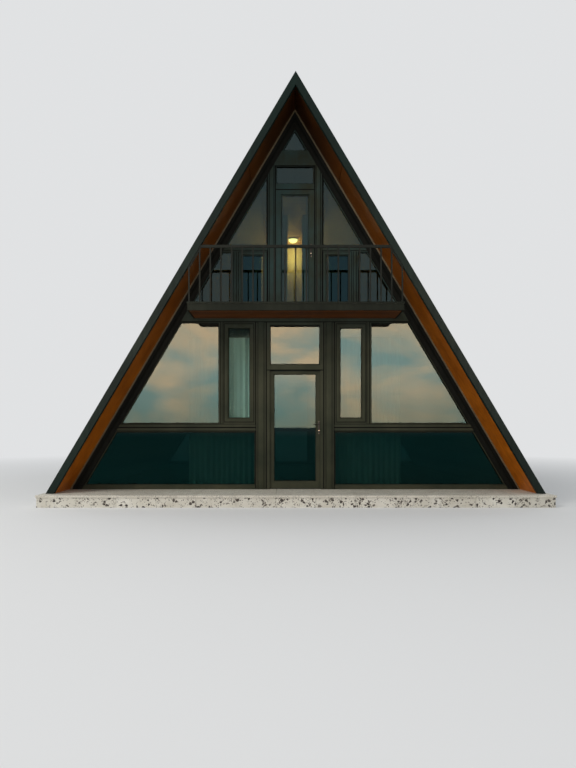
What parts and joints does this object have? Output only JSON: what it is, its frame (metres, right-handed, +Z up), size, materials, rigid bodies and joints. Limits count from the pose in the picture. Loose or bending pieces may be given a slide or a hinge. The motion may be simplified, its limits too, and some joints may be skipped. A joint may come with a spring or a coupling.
{
  "type": "a-frame cabin",
  "caption": "Steep-roofed A-frame cabin on a stone plinth, with a glazed front gable, a hinged front door and a railed balcony under the roof overhang.",
  "frame": {"origin": "centre of the plinth underside, at ground level", "axes": "+X to the right seen from the front, +Y to the rear along the ridge, +Z up; the front gable faces -Y"},
  "size_m": [8.928, 10.108, 7.63],
  "materials": {
    "curtain_cloth": "matt",
    "curtain_rail_metal": "matt white",
    "dark_sheet_metal": "dark green-grey, satin",
    "deck_tiles": "matt",
    "fittings_steel": "satin",
    "floor_timber": "satin boards",
    "frame_metal": "anthracite, satin",
    "glazing": "clear double glazing with a grey-green cast",
    "inner_plaster": "rough plaster and painted boards",
    "lamp_globe": "opal",
    "plinth_concrete": "rough",
    "railing_metal": "anthracite, satin",
    "roof_timber": "planed",
    "soffit_boards": "orange-brown stained boards, satin",
    "terrazzo_stone": "honed terrazzo with dark chips",
    "trim_aluminium": "dull"
  },
  "bodies": {
    "house": {"balcony_deck": "deck_tiles", "balcony_door_handle": "fittings_steel", "balcony_door_leaf": "frame_metal", "balcony_fascia": "dark_sheet_metal", "balcony_slab": "floor_timber", "balcony_soffit": "soffit_boards", "ceiling_lamp": "lamp_globe", "curtain_rails": "curtain_rail_metal", "curtains": "curtain_cloth", "door_frame_hinges": "fittings_steel", "door_jambs": "frame_metal", "door_stops": "frame_metal", "fanlight_frame": "frame_metal", "front_ground_glass": "glazing", "front_ground_posts": "frame_metal", "front_ground_rails": "frame_metal", "front_header": "frame_metal", "front_mullions": "frame_metal", "front_sashes": "frame_metal", "front_upper_glass": "glazing", "front_upper_posts": "frame_metal", "front_upper_rails": "frame_metal", "ground_floor": "floor_timber", "plinth_core": "plinth_concrete", "plinth_facing": "terrazzo_stone", "plinth_top": "terrazzo_stone", "railing": "railing_metal", "rake_frames_left": "frame_metal", "rake_frames_right": "frame_metal", "rear_glass": "glazing", "rear_wall_frame": "frame_metal", "ridge_cap": "dark_sheet_metal", "roof_deck_left": "roof_timber", "roof_deck_right": "roof_timber", "roof_lining_left": "roof_timber", "roof_lining_right": "roof_timber", "roof_sheet_left": "dark_sheet_metal", "roof_sheet_right": "dark_sheet_metal", "soffit_trims": "trim_aluminium", "soffits_left": "soffit_boards", "soffits_right": "soffit_boards", "upper_ceiling": "inner_plaster", "upper_floor": "floor_timber", "upper_partition": "inner_plaster", "verge_flashings_left": "dark_sheet_metal", "verge_flashings_right": "dark_sheet_metal"},
    "front_door": {"front_door_leaf": "frame_metal", "front_door_glass": "glazing", "front_door_fittings": "fittings_steel"}
  },
  "joints": [
    {"name": "front_door_hinge", "type": "hinge", "parent": "house", "child": "front_door", "pos_m": [-0.506, -3.911, 1.31], "axis": [0, 0, 1], "range_deg": [0, 90]}
  ]
}
